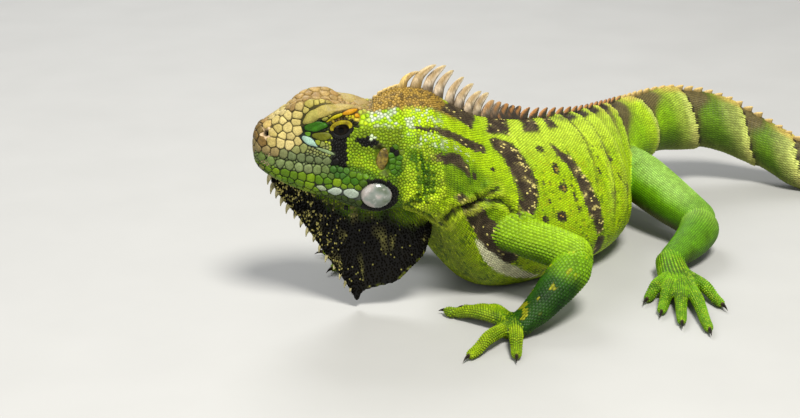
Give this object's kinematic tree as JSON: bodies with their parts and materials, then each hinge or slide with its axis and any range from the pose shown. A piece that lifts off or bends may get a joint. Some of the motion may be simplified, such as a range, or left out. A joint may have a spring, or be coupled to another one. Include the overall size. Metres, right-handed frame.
{
  "type": "green iguana",
  "caption": "Life-size green iguana lying at rest with its head turned to the right, throat fan hanging, crest spines along the back, legs spread and long tail trailing.",
  "frame": {"origin": "on the belly's resting flat at floor level, under the middle of the trunk", "axes": "-Z is out of the belly flat, into the floor; +X runs back along the trunk and is the longest extent, the head being toward -X; +Y is the animal's right"},
  "size_m": [0.8504, 0.2503, 0.1225],
  "materials": {
    "head_skin": "satin scales",
    "eye": "wet gloss",
    "eardrum": "smooth thin skin",
    "cheek_shield": "pearly gloss",
    "dewlap_skin": "small scales",
    "body_skin": "satin scales",
    "tail_skin": "keeled scales",
    "leg_skin": "keeled scales",
    "claw": "satin horn"
  },
  "bodies": {
    "root": {"head": "head_skin", "eye_left": "eye", "eye_right": "eye", "tympanum_left": "eardrum", "tympanum_right": "eardrum", "shield_left": "cheek_shield", "shield_right": "cheek_shield", "dewlap": "dewlap_skin", "neck": "body_skin", "trunk": "body_skin", "tail_1": "tail_skin", "tail_2": "tail_skin", "tail_3": "tail_skin", "tail_4": "tail_skin", "tail_5": "tail_skin", "arm_upper_left": "leg_skin", "forearm_left": "leg_skin", "hand_left": "leg_skin", "thigh_left": "leg_skin", "shank_left": "leg_skin", "foot_left": "leg_skin", "arm_upper_right": "leg_skin", "forearm_right": "leg_skin", "hand_right": "leg_skin", "thigh_right": "leg_skin", "shank_right": "leg_skin", "foot_right": "leg_skin", "claw_hand_left_1": "claw", "claw_hand_left_2": "claw", "claw_hand_left_3": "claw", "claw_hand_left_4": "claw", "claw_hand_left_5": "claw", "claw_foot_left_1": "claw", "claw_foot_left_2": "claw", "claw_foot_left_3": "claw", "claw_foot_left_4": "claw", "claw_foot_left_5": "claw", "claw_hand_right_1": "claw", "claw_hand_right_2": "claw", "claw_hand_right_3": "claw", "claw_hand_right_4": "claw", "claw_hand_right_5": "claw", "claw_foot_right_1": "claw", "claw_foot_right_2": "claw", "claw_foot_right_3": "claw", "claw_foot_right_4": "claw", "claw_foot_right_5": "claw"}
  },
  "joints": []
}
